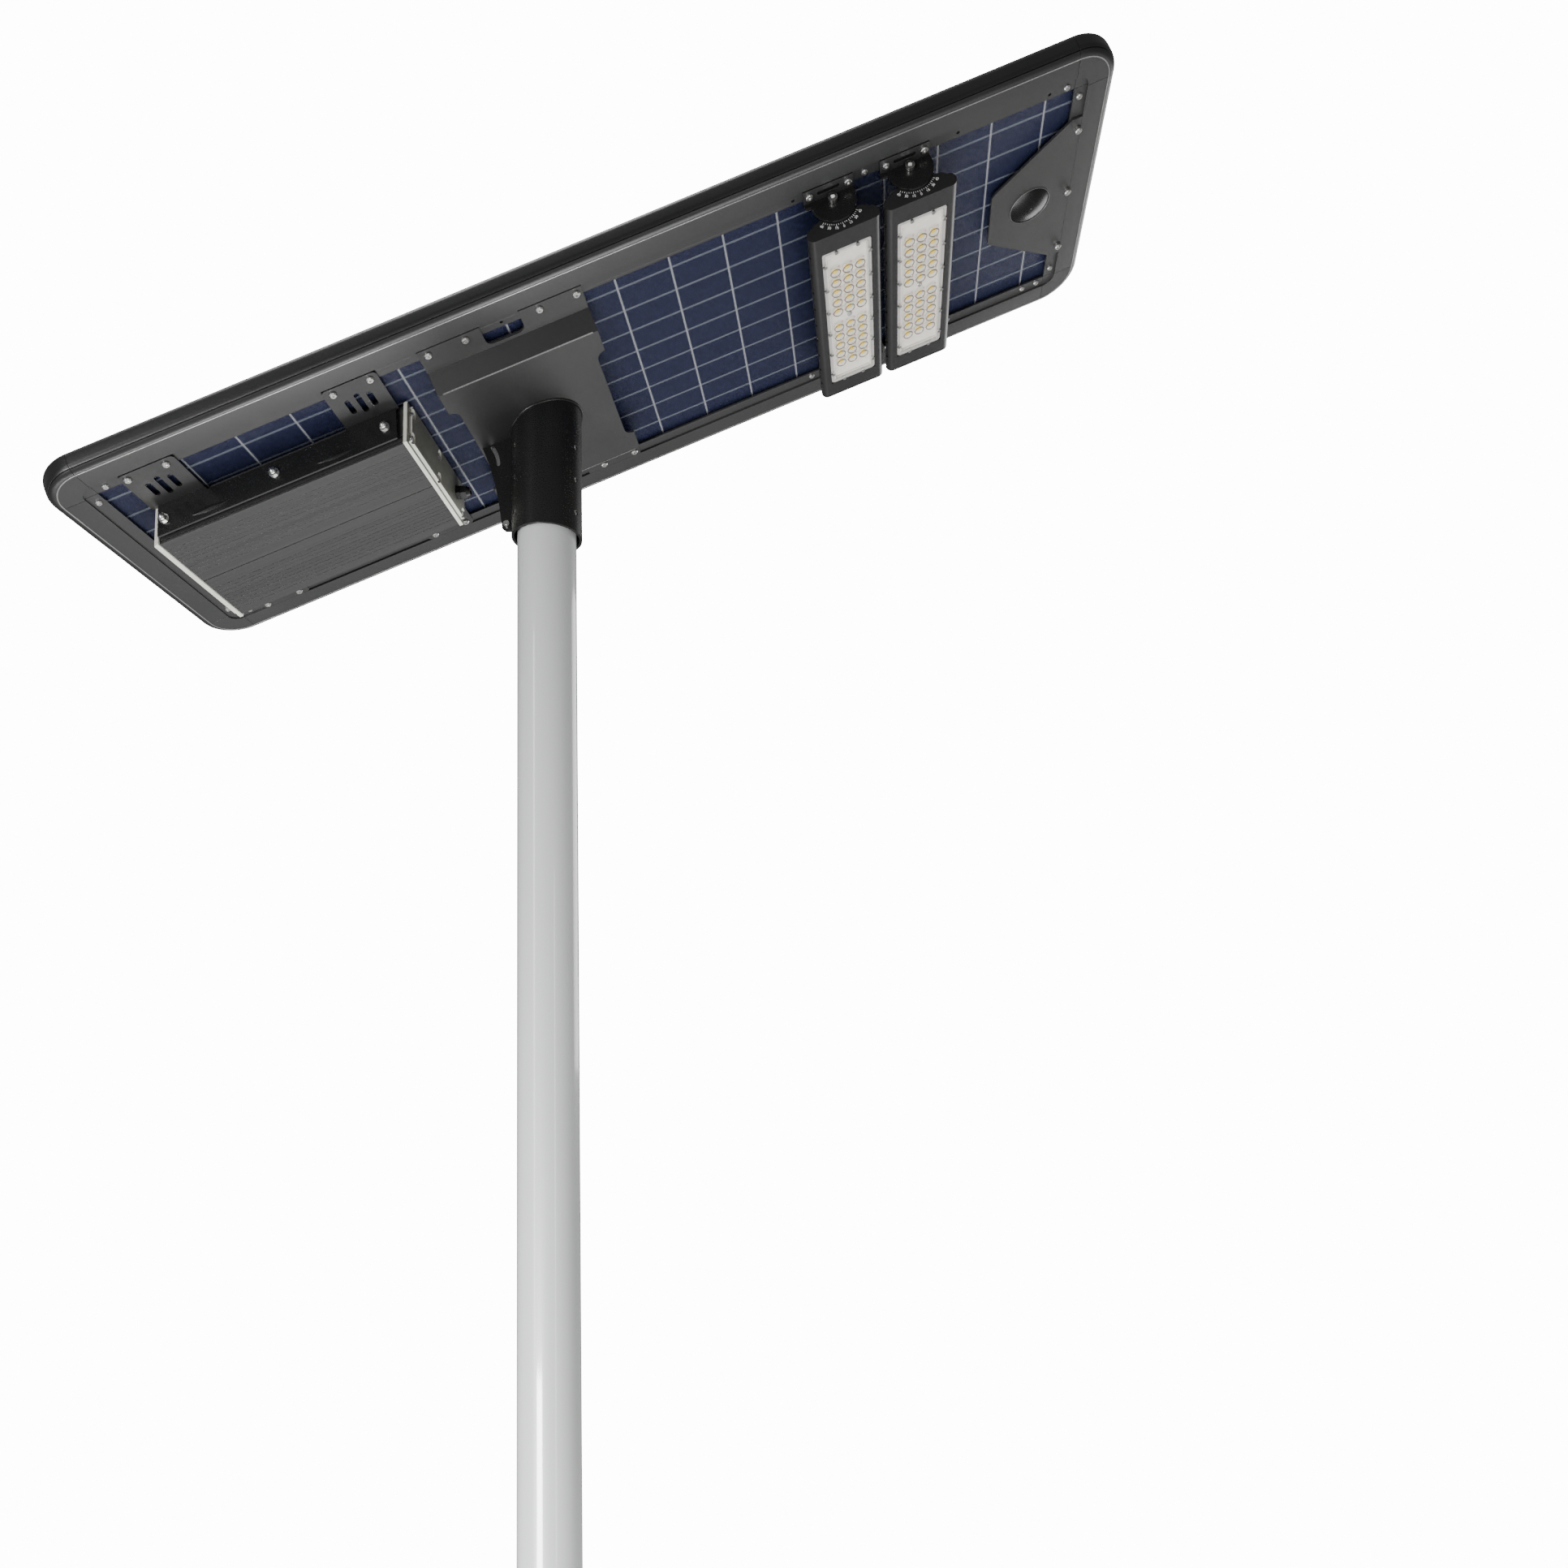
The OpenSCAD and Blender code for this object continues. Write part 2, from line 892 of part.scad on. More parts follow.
module lamp_housing() {
    cheek_t = 3;
    fin_h = 4;
    color([0.25, 0.25, 0.25])
        difference() {
            union() {
                translate([0, lamp_y, 0])
                    rotate([90, 0, 0])
                        linear_extrude(2 * lamp_y)
                            lamp_section();
                for (s = [-1, 1])
                    translate([0, s * (lamp_y - cheek_t / 2) + cheek_t / 2, 0])
                        rotate([90, 0, 0])
                            linear_extrude(cheek_t)
                                lamp_ear();
                for (i = [-5 : 5])
                    translate([i * 4.5, 0, -back_h])
                        block(-0.8, 0.8, -lamp_y + 12, lamp_y - 12, -1, fin_h);
            }
            // pocket for the board and the lens
            block(-LENS_XS - 0.4, LENS_XS + 0.4, -LENS_YS - 0.4, LENS_YS + 0.4, -lamp_h - 1, -lamp_h + 2.4);
            block(-LENS_XS + 4, LENS_XS - 4, -LENS_YS + 5, LENS_YS - 5, -lamp_h - 1, -lamp_h + 5.4);
            // row of holes along each lower edge
            for (i = [-4 : 4], s = [-1, 1])
                translate([s * (lamp_x - 2), i * 26.4, -lamp_h + 6])
                    rotate([0, 90, 0])
                        cylinder(h = 10, d = 5, center = true);
            rotate([90, 0, 0])
                cylinder(h = 2 * lamp_y + 2, d = 6, center = true);
            lens_screw_places()
                cylinder(h = 12, d = 2.2, center = true);
        }
}

module lens_screw_places() {
    for (s = [-1, 1], i = [-2.5 : 2.5])
        translate([s * (LENS_XS - 2.2), i * 36, -lamp_h + 0.6])
            children();
    for (s = [-1, 1], t = [-1, 1])
        translate([t * 12, s * (LENS_YS - 2.4), -lamp_h + 0.6])
            children();
}

module led_places() {
    half = LED_GAP / 2;
    for (c = [-1 : 1], r = [0 : 4], s = [-1, 1])
        translate([c * LED_PITCH, s * (half + r * LED_STEP), 0])
            children();
}

module lamp_lens() {
    dome_r = 5.4;
    color("white", 0.35)
        difference() {
            union() {
                block(-LENS_XS, LENS_XS, -LENS_YS, LENS_YS, -lamp_h + 0.4, -lamp_h + 1.8);
                block(-LENS_XS + 5, LENS_XS - 5, -LENS_YS + 6, LENS_YS - 6, -lamp_h - 0.6, -lamp_h + 1.8);
                led_places()
                    translate([0, 0, -lamp_h - 0.5])
                        intersection() {
                            translate([0, 0, 3])
                                sphere(dome_r);
                            translate([0, 0, -3])
                                cylinder(h = 3.5, d = 12);
                        }
            }
            lens_screw_places()
                cylinder(h = 6, d = 2.3, center = true);
        }
}

module lens_gasket() {
    color("black")
        difference() {
            block(-LENS_XS, LENS_XS, -LENS_YS, LENS_YS, -lamp_h + 1.85, -lamp_h + 2.35);
            block(-LENS_XS + 4, LENS_XS - 4, -LENS_YS + 5, LENS_YS - 5, -lamp_h, -lamp_h + 4);
            lens_screw_places()
                cylinder(h = 6, d = 2.3, center = true);
        }
}

module led_board() {
    color("ivory")
        block(-LENS_XS + 4.3, LENS_XS - 4.3, -LENS_YS + 5.3, LENS_YS - 5.3, -lamp_h + 3.6, -lamp_h + 5.2);
}

module led_emitters() {
    led_w = 5;
    color("gold")
        led_places()
            block(-led_w / 2, led_w / 2, -led_w / 2, led_w / 2, -lamp_h + 2.4, -lamp_h + 3.55);
}

module lens_screws() {
    color("silver")
        lens_screw_places() {
            translate([0, 0, -2.1])
                cylinder(h = 1.8, d = 4.4);
            translate([0, 0, -0.5])
                cylinder(h = 5.5, d = 2);
        }
}

module pivot_bolts() {
    plate_out = lamp_y + 0.5 + sheet;
    color("silver")
        for (s = [0, 1])
            mirror([0, s, 0])
                translate([0, -plate_out, 0])
                    rotate([90, 0, 0]) {
                        translate([0, 0, -plate_out + lamp_y - 4])
                            cylinder(h = plate_out - lamp_y + 5, d = 6);
                        difference() {
                            translate([0, 0, 0.4])
                                cylinder(h = 4, d = 10);
                            translate([0, 0, 2])
                                cylinder(h = 4, d = 4.6, $fn = 6);
                        }
                    }
}

module lamp_brackets(tab_x, lamp_cx) {
    arc_r = 24;
    y_in = lamp_y + 0.5;
    color("black")
        in_head()
            for (s = [0, 1])
                mirror([0, s, 0])
                    difference() {
                        union() {
                            block(tab_x - 27, tab_x + 27, -150, -y_in, 0, sheet);
                            translate([0, -y_in, 0])
                                rotate([90, 0, 0])
                                    linear_extrude(sheet)
                                        union() {
                                            translate([lamp_cx, -pivot_z])
                                                intersection() {
                                                    circle(arc_r);
                                                    translate([-30, -30])
                                                        square([60, 30 + pivot_z + eps]);
                                                }
                                            translate([tab_x - 27, -5])
                                                square([54, 5 + sheet]);
                                        }
                        }
                        bracket_holes();
                        translate([lamp_cx, -y_in + 1, -pivot_z])
                            rotate([90, 0, 0])
                                cylinder(h = 8, d = 6.1);
                        translate([tab_x, -screw_y, -1])
                            linear_extrude(5)
                                round_rect(24, 4.6, 2.2);
                    }
}

module lamp_brackets_a() {
    lamp_brackets(tab_a_x, lamp_a_x);
}

module lamp_brackets_b() {
    lamp_brackets(tab_b_x, lamp_b_x);
}

module lamp_housing_a() { in_lamp(lamp_a_x, lamp_a_tilt) lamp_housing(); }
module lamp_lens_a() { in_lamp(lamp_a_x, lamp_a_tilt) lamp_lens(); }
module lens_gasket_a() { in_lamp(lamp_a_x, lamp_a_tilt) lens_gasket(); }
module led_board_a() { in_lamp(lamp_a_x, lamp_a_tilt) led_board(); }
module led_emitters_a() { in_lamp(lamp_a_x, lamp_a_tilt) led_emitters(); }
module lens_screws_a() { in_lamp(lamp_a_x, lamp_a_tilt) lens_screws(); }
module pivot_bolts_a() { in_lamp(lamp_a_x, lamp_a_tilt) pivot_bolts(); }
module lamp_housing_b() { in_lamp(lamp_b_x, 0) lamp_housing(); }
module lamp_lens_b() { in_lamp(lamp_b_x, 0) lamp_lens(); }
module lens_gasket_b() { in_lamp(lamp_b_x, 0) lens_gasket(); }
module led_board_b() { in_lamp(lamp_b_x, 0) led_board(); }
module led_emitters_b() { in_lamp(lamp_b_x, 0) led_emitters(); }
module lens_screws_b() { in_lamp(lamp_b_x, 0) lens_screws(); }
module pivot_bolts_b() { in_lamp(lamp_b_x, 0) pivot_bolts(); }

pole();
base_flange();
flange_gussets();
pole_plug();
rail_near();
rail_far();
rail_battery_end();
rail_sensor_end();
corner_battery_near();
corner_battery_far();
corner_sensor_near();
corner_sensor_far();
frame_screws();
front_glass();
front_cells();
rear_cells();
rear_glass();
laminate_seals();
panel_spacer();
junction_box();
saddle();
sleeve();
gusset_fin();
gusset_bolt();
set_screws();
bracket_screws();
pack_case_near();
pack_case_far();
pack_cap_outer();
pack_cap_inner();
cap_gaskets();
cap_screws();
battery_cells();
charge_board();
cable_gland();
gland_nut();
strip_near();
strip_far();
strip_nuts();
sensor_plate();
sensor_lens();
sensor_cup();
sensor_board();
sensor_screws();
lamp_brackets_a();
lamp_brackets_b();
lamp_housing_a();
lamp_lens_a();
lens_gasket_a();
led_board_a();
led_emitters_a();
lens_screws_a();
pivot_bolts_a();
lamp_housing_b();
lamp_lens_b();
lens_gasket_b();
led_board_b();
led_emitters_b();
lens_screws_b();
pivot_bolts_b();
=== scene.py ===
import bpy
import bmesh
import json
import math
from mathutils import Matrix, Vector

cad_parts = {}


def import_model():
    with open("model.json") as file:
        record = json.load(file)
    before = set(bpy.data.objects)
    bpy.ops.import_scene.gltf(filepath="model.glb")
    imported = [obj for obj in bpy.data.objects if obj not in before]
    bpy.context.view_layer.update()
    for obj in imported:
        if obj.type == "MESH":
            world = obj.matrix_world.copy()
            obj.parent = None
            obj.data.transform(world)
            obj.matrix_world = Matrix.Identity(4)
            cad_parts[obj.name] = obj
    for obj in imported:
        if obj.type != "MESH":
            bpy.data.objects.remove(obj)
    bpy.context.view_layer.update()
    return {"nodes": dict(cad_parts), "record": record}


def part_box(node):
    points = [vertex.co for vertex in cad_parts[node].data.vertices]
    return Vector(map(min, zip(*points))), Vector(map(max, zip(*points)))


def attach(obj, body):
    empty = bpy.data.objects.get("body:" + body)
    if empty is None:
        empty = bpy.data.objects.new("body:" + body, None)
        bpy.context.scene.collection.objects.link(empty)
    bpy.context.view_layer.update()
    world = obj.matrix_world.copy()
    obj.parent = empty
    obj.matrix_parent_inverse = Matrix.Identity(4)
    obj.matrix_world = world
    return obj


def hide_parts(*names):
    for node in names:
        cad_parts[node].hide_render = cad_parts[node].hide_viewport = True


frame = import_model()
nodes = frame["nodes"]
record = frame["record"]
body_of = {n: b for b, names in record["behaviour"]["bodies"].items() for n in names}
slot_of = {s["node"]: s["material_slot"] for s in record["subparts"]}
joints = {j["name"]: j for j in record["behaviour"]["joints"]}

# ---------------------------------------------------------------- the panel's own frame

MM = 0.001
TILT = math.radians(20.6)
AXIS_X = -0.086     # where the pole's axis meets the panel, along the panel from its middle
HEAD_Z = joints["head_swivel"]["pos_m"][2]
PANEL = (Matrix.Translation((0, 0, HEAD_Z)) @ Matrix.Rotation(-TILT, 4, "Y")
         @ Matrix.Translation((-AXIS_X, 0, 0)))
EX = PANEL.to_3x3() @ Vector((1, 0, 0))
EZ = PANEL.to_3x3() @ Vector((0, 0, 1))
PANEL_O = PANEL @ Vector((0, 0, 0))
# local Z points out of the panel's underside, local X along the panel, local Y across it
FACING_DOWN = Matrix((EX, Vector((0, -1, 0)), -EZ)).transposed().to_4x4()

FRAME_HALF = (0.578, 0.182)
FRAME_CORNER_R = 0.045
EDGE_BAND = 0.0085      # width of the dark outer edge seen from below, partly painted shade
SADDLE_X = (-0.1825, -0.0048)
SADDLE_FACE_Z = -0.020
SLEEVE_R = 0.0762 / 2
SENSOR_X = 498
LAMP_FACE = 0.034       # from a lamp's pivot axis down to the face of its housing


def panel_at(x, y, z):
    """A point given in millimetres in the panel's own frame."""
    return PANEL @ Vector((x * MM, y * MM, z * MM))


def pivot(name):
    return Vector(joints[name]["pos_m"])


# ---------------------------------------------------------------- node-graph helpers

class Mat:
    """A material under construction, with short calls for the nodes used here."""

    def __init__(self, name, color=(0.5, 0.5, 0.5), rough=0.5, metal=0.0, **extra):
        self.m = bpy.data.materials.new(name)
        self.m.use_nodes = True
        self.t = self.m.node_tree
        self.b = self.t.nodes["Principled BSDF"]
        self.set("Base Color", (*color, 1))
        self.set("Roughness", rough)
        self.set("Metallic", metal)
        for key, value in extra.items():
            self.set(key.replace("_", " "), value)
        self.co = self.node("ShaderNodeTexCoord").outputs["Object"]

    def set(self, socket, value):
        self.b.inputs[socket].default_value = value

    def node(self, kind, **props):
        n = self.t.nodes.new(kind)
        for key, value in props.items():
            setattr(n, key, value)
        return n

    def link(self, out, into):
        self.t.links.new(out, into)

    def math(self, op, a, b=None, c=None):
        n = self.node("ShaderNodeMath", operation=op)
        for i, v in enumerate((a, b, c)):
            if v is None:
                continue
            if isinstance(v, (int, float)):
                n.inputs[i].default_value = v
            else:
                self.link(v, n.inputs[i])
        return n.outputs[0]

    def along(self, direction, origin):
        """Distance of the surface point from origin along a direction, in metres."""
        n = self.node("ShaderNodeVectorMath", operation="DOT_PRODUCT")
        self.link(self.co, n.inputs[0])
        n.inputs[1].default_value = direction
        return self.math("SUBTRACT", n.outputs["Value"], Vector(origin).dot(Vector(direction)))

    def noise(self, scale, detail=4.0, rough=0.6, stretch=None):
        n = self.node("ShaderNodeTexNoise")
        n.inputs["Scale"].default_value = scale
        n.inputs["Detail"].default_value = detail
        n.inputs["Roughness"].default_value = rough
        if stretch is None:
            self.link(self.co, n.inputs["Vector"])
        else:
            mp = self.node("ShaderNodeMapping")
            mp.inputs["Scale"].default_value = stretch
            mp.inputs["Rotation"].default_value = (0, TILT, 0)
            self.link(self.co, mp.inputs["Vector"])
            self.link(mp.outputs[0], n.inputs["Vector"])
        return n.outputs["Fac"]

    def streaks(self, along, across, detail=5.0):
        """Noise drawn out along the panel, as extruded metal shows."""
        parts = (self.math("MULTIPLY", self.along(EX, PANEL_O), along),
                 self.math("MULTIPLY", self.along((0, 1, 0), (0, 0, 0)), across),
                 self.math("MULTIPLY", self.along(EZ, PANEL_O), across))
        joined = self.node("ShaderNodeCombineXYZ")
        for i, part in enumerate(parts):
            self.link(part, joined.inputs[i])
        n = self.node("ShaderNodeTexNoise")
        n.inputs["Scale"].default_value = 1.0
        n.inputs["Detail"].default_value = detail
        self.link(joined.outputs[0], n.inputs["Vector"])
        return n.outputs["Fac"]

    def ramp(self, fac, lo, hi, a=0.3, b=0.7):
        """Maps fac from a..b onto lo..hi, clamped."""
        n = self.node("ShaderNodeMapRange")
        n.inputs["From Min"].default_value = a
        n.inputs["From Max"].default_value = b
        n.inputs["To Min"].default_value = lo
        n.inputs["To Max"].default_value = hi
        self.link(fac, n.inputs["Value"])
        return n.outputs[0]

    def mix(self, fac, a, b):
        n = self.node("ShaderNodeMix", data_type="RGBA")
        self.link(fac, n.inputs["Factor"])
        for socket, v in ((n.inputs[6], a), (n.inputs[7], b)):
            if isinstance(v, tuple):
                socket.default_value = (*v, 1)
            else:
                self.link(v, socket)
        return n.outputs[2]

    def bump(self, height, strength=0.2, distance=0.0005):
        n = self.node("ShaderNodeBump")
        n.inputs["Strength"].default_value = strength
        n.inputs["Distance"].default_value = distance
        self.link(height, n.inputs["Height"])
        self.link(n.outputs[0], self.b.inputs["Normal"])

    def color(self, out):
        self.link(out, self.b.inputs["Base Color"])

    def rough(self, out):
        self.link(out, self.b.inputs["Roughness"])

    def grain(self, dark, light, scale=900, rough=(0.35, 0.5), bump=0.15, cloud=18):
        """Powder-coat grain: fine bump, slow colour drift, roughness variation."""
        fine = self.noise(scale, 3)
        slow = self.noise(cloud, 5)
        self.color(self.mix(self.ramp(slow, 0, 1), dark, light))
        self.rough(self.ramp(fine, *rough))
        self.bump(fine, bump, 0.0004)
        return self.m


def powder(name, dark, light, rough, metal=0.0, scale=900, bump=0.15, specular=0.5):
    """A painted, powder-coated or moulded surface between two tones."""
    m = Mat(name, dark, rough[0], metal, Specular_IOR_Level=specular)
    return m.grain(dark, light, scale, rough, bump)


def stripes(m, u, pitch, half, offset=0.0):
    """1 on lines of half width `half` that repeat every pitch along u, 0 elsewhere."""
    shifted = m.math("ADD", u, -offset + pitch * 500.5)
    local = m.math("ABSOLUTE", m.math("SUBTRACT", m.math("MODULO", shifted, pitch), pitch / 2))
    return m.math("LESS_THAN", local, half)


def rear_cell_material():
    m = Mat("rear_cells", (0.02, 0.03, 0.09), 0.45, 0.0)
    u, v = m.along(EX, PANEL_O), m.along((0, 1, 0), (0, 0, 0))
    silver = stripes(m, v, 0.0331, 0.0014, 0.01655)
    white = stripes(m, u, 0.0593, 0.0011, 0.5043)
    crystal = m.node("ShaderNodeTexVoronoi", feature="F1")
    crystal.inputs["Scale"].default_value = 30
    m.link(m.co, crystal.inputs["Vector"])
    tone = m.ramp(crystal.outputs["Color"], 0.0, 1.0, 0.1, 0.9)
    cloud = m.ramp(m.noise(3.0, 3), 0.0, 1.0)
    blue = m.mix(tone, (0.0245, 0.0285, 0.0980), (0.0253, 0.0294, 0.1010))
    blue = m.mix(m.math("MULTIPLY", cloud, 0.5), blue, (0.0275, 0.0318, 0.1120))
    with_silver = m.mix(silver, blue, (0.34, 0.38, 0.45))
    m.color(m.mix(white, with_silver, (0.80, 0.82, 0.86)))
    m.rough(m.ramp(m.noise(240, 3), 0.38, 0.52))
    return m.m


def front_cell_material():
    m = Mat("front_cells", (0.01, 0.012, 0.03), 0.4, 0.0)
    u, v = m.along(EX, PANEL_O), m.along((0, 1, 0), (0, 0, 0))
    pitch = 0.0613
    bus = stripes(m, v, 0.0266, 0.0007, 0.0133)
    rows = stripes(m, u, pitch, 0.0007, pitch / 2)
    seam = m.math("LESS_THAN", m.math("ABSOLUTE", v), 0.0011)
    # diamonds where the cut cell corners meet: the middle seam and both long edges
    half_v = 0.1595
    along_pair = m.math("MODULO", m.math("ADD", u, pitch * 101), 2 * pitch)
    du = m.math("ABSOLUTE", m.math("SUBTRACT", along_pair, pitch))
    to_edge = m.math("ABSOLUTE", m.math("SUBTRACT", m.math("ABSOLUTE", v), half_v))
    dv = m.math("MINIMUM", m.math("ABSOLUTE", v), to_edge)
    diamond = m.math("LESS_THAN", m.math("ADD", du, dv), 0.0075)
    edge_v = m.math("GREATER_THAN", m.math("ABSOLUTE", v), half_v)
    edge_u = m.math("GREATER_THAN", m.math("ABSOLUTE", u), 0.5525)
    lines = m.math("MAXIMUM", m.math("MAXIMUM", bus, rows), seam)
    cloud = m.ramp(m.noise(4.0, 3), 0.0, 1.0)
    navy = m.mix(cloud, (0.006, 0.008, 0.018), (0.011, 0.014, 0.030))
    drawn = m.mix(lines, navy, (0.42, 0.45, 0.50))
    white = m.math("MAXIMUM", m.math("MAXIMUM", edge_v, edge_u), diamond)
    m.color(m.mix(white, drawn, (0.78, 0.79, 0.80)))
    m.rough(m.ramp(m.noise(240, 3), 0.34, 0.48))
    return m.m


def frame_material():
    """Darker outer edge, lighter flat underside and lip, with a fine grain. The darker edge is
    partly the frame's own tone, partly painted shade on the outer wall that turns from the light
    below.
    """
    m = Mat("frame_aluminium", (0.035, 0.035, 0.036), 0.4, 0.0)
    u, v = m.along(EX, PANEL_O), m.along((0, 1, 0), (0, 0, 0))
    half_u, half_v = FRAME_HALF[0], -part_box("rail_near")[0][1]
    # distance in from the rounded outline, so the dark edge follows the corners too
    r = FRAME_CORNER_R
    du = m.math("MAXIMUM", m.math("SUBTRACT", m.math("ABSOLUTE", u), half_u - r), 0.0)
    dv = m.math("MAXIMUM", m.math("SUBTRACT", m.math("ABSOLUTE", v), half_v - r), 0.0)
    away = m.math("SQRT", m.math("ADD", m.math("MULTIPLY", du, du), m.math("MULTIPLY", dv, dv)))
    inset = m.math("SUBTRACT", r, away)
    # mask of the dark outer band: partly painted shade on the outer wall, partly the frame's own
    # darker edge
    edge = m.ramp(inset, 1.0, 0.0, 0.0045, EDGE_BAND)
    slow = m.ramp(m.noise(12, 5), 0, 1)
    fine = m.noise(900, 3)
    flat = m.mix(slow, (0.0225, 0.0225, 0.0228), (0.0270, 0.0270, 0.0273))
    dark = m.mix(slow, (0.0065, 0.0065, 0.0067), (0.0090, 0.0090, 0.0092))
    m.color(m.mix(edge, flat, dark))
    m.rough(m.ramp(fine, 0.30, 0.40))
    m.bump(fine, 0.10, 0.0003)
    return m.m


def glass_material(name, alpha, tint):
    m = Mat(name, tint, 0.04, 0.0, Alpha=alpha, IOR=1.5)
    m.rough(m.ramp(m.noise(60, 3), 0.03, 0.07))
    return m.m


def pole_material():
    m = Mat("pole_paint", (0.60, 0.62, 0.62), 0.35, 0.0, Coat_Weight=1.0, Coat_Roughness=0.08)
    drift = m.noise(6, 4, 0.5, (1, 1, 0.15))
    m.color(m.mix(m.ramp(drift, 0, 1), (0.47, 0.495, 0.48), (0.54, 0.56, 0.55)))
    fine = m.noise(700, 3)
    m.rough(m.ramp(fine, 0.30, 0.42))
    ripple = m.noise(9, 5, 0.6, (6, 6, 1.2))
    m.bump(m.math("ADD", m.math("MULTIPLY", fine, 0.15), ripple), 0.12, 0.0006)
    return m.m


def steel_material():
    m = Mat("stainless", (0.72, 0.72, 0.70), 0.25, 1.0)
    scratch = m.noise(2500, 2, 0.5, (1, 8, 1))
    m.color(m.mix(m.ramp(m.noise(300, 3), 0, 1), (0.62, 0.62, 0.60), (0.82, 0.82, 0.80)))
    m.rough(m.ramp(scratch, 0.16, 0.34))
    return m.m


def case_material():
    m = Mat("case_aluminium", (0.033, 0.033, 0.034), 0.42, 0.0)
    drawn = m.streaks(1.5, 900, 2)
    broad = m.streaks(0.6, 110, 2)
    grain = m.math("ADD", m.math("MULTIPLY", drawn, 0.65), m.math("MULTIPLY", broad, 0.35))
    tone = m.ramp(grain, 0, 1, 0.36, 0.64)
    m.color(m.mix(tone, (0.0195, 0.0195, 0.0197), (0.0285, 0.0285, 0.0285)))
    m.rough(m.ramp(grain, 0.34, 0.44))
    m.bump(drawn, 0.05, 0.0002)
    return m.m


def cap_material():
    m = Mat("cap_casting", (0.74, 0.74, 0.68), 0.42, 0.35)
    fine = m.noise(500, 4)
    m.color(m.mix(m.ramp(m.noise(14, 4), 0, 1), (0.62, 0.62, 0.55), (0.80, 0.80, 0.73)))
    m.rough(m.ramp(fine, 0.36, 0.52))
    m.bump(fine, 0.2, 0.0005)
    return m.m


def board_material(name, a, b):
    m = Mat(name, a, 0.5)
    m.color(m.mix(m.ramp(m.noise(120, 4), 0, 1), a, b))
    m.rough(m.ramp(m.noise(400, 2), 0.4, 0.6))
    return m.m


def phosphor_material():
    m = Mat("led_phosphor", (0.9, 0.72, 0.12), 0.45)
    m.color(m.mix(m.ramp(m.noise(900, 3), 0, 1), (0.80, 0.52, 0.010), (0.88, 0.68, 0.03)))
    m.rough(m.ramp(m.noise(600, 2), 0.35, 0.55))
    return m.m


def lens_material(name, alpha, tint):
    m = Mat(name, tint, 0.08, 0.0, Alpha=alpha, IOR=1.49)
    m.rough(m.ramp(m.noise(200, 3), 0.05, 0.14))
    m.bump(m.noise(160, 2), 0.05, 0.0003)
    return m.m


def grey(level):
    return (level, level, level)


MATS = {
    "pole_paint": pole_material(),
    "black_plastic": powder("black_plastic", grey(0.006), grey(0.009), (0.32, 0.45)),
    "black_paint": powder("black_paint", grey(0.0075), grey(0.0105), (0.24, 0.34),
                          bump=0.08, specular=0.30),
    "frame_aluminium": frame_material(),
    "stainless": steel_material(),
    "clear_glass": glass_material("clear_glass", 0.03, (0.10, 0.13, 0.24)),
    "seal_rubber": powder("seal_rubber", grey(0.012), grey(0.02), (0.6, 0.8)),
    # grey paint; also laid on the black brackets' flat tabs as painted light
    "bracket_paint": powder("bracket_paint", grey(0.0215), grey(0.0260), (0.34, 0.46),
                            bump=0.12, specular=0.40),
    # a darker copy of the saddle's grey: painted shade for its slanting webs
    "web_painted_shade": powder("web_painted_shade", grey(0.0095), grey(0.0120), (0.34, 0.46),
                        bump=0.12, specular=0.30),
    "case_aluminium": case_material(),
    "cap_casting": cap_material(),
    # a dark olive copy of the cap's colour: painted shade for the caps' flat outer faces
    "cap_face_painted_shade": powder("cap_face_painted_shade", (0.115, 0.115, 0.095), (0.150, 0.150, 0.125), (0.30, 0.42),
                       metal=0.2, scale=500),
    "cell_wrap": board_material("cell_wrap", (0.05, 0.12, 0.38), (0.08, 0.16, 0.45)),
    # bright metal for the painted highlight lines on the frame and along the saddle's bends
    "edge_bright": powder("edge_bright", grey(0.20), (0.34, 0.34, 0.33), (0.20, 0.30), metal=0.5),
    "ring_grey": powder("ring_grey", grey(0.10), grey(0.14), (0.25, 0.35), metal=0.2),
    "circuit_board": board_material("circuit_board", (0.02, 0.14, 0.05), (0.03, 0.20, 0.08)),
    "sensor_black": powder("sensor_black", grey(0.004), grey(0.006), (0.22, 0.30),
                           scale=500, bump=0.03, specular=0.22),
    "lamp_casting": powder("lamp_casting", (0.0105, 0.0105, 0.0108), (0.0140, 0.0140, 0.0143),
                           (0.32, 0.44), scale=600, bump=0.14, specular=0.40),
    "lens_plastic": lens_material("lens_plastic", 0.035, (0.84, 0.83, 0.78)),
    "led_board": board_material("led_board", (0.66, 0.63, 0.56), (0.76, 0.73, 0.66)),
    "led_phosphor": phosphor_material(),
}
CELLS = {"rear_cells": rear_cell_material(), "front_cells": front_cell_material()}
DIAL_WHITE = board_material("dial_white", (0.80, 0.80, 0.78), (0.88, 0.88, 0.86))
LENS_EDGE = lens_material("lens_edge", 0.32, (0.82, 0.80, 0.76))
LENS_RING = lens_material("lens_ring", 0.90, (0.16, 0.13, 0.10))
RESISTOR = board_material("resistor", (0.55, 0.30, 0.34), (0.66, 0.40, 0.42))

BLACK_PAINTED = ("sleeve", "gusset_fin", "strip_near", "strip_far", "lamp_brackets_a",
                 "lamp_brackets_b")


def is_tab(normal):
    return abs(normal.dot(EZ)) > 0.9


def is_web(normal):
    return 0.3 < abs(normal.dot(EZ)) < 0.9 and abs(normal.y) > 0.3


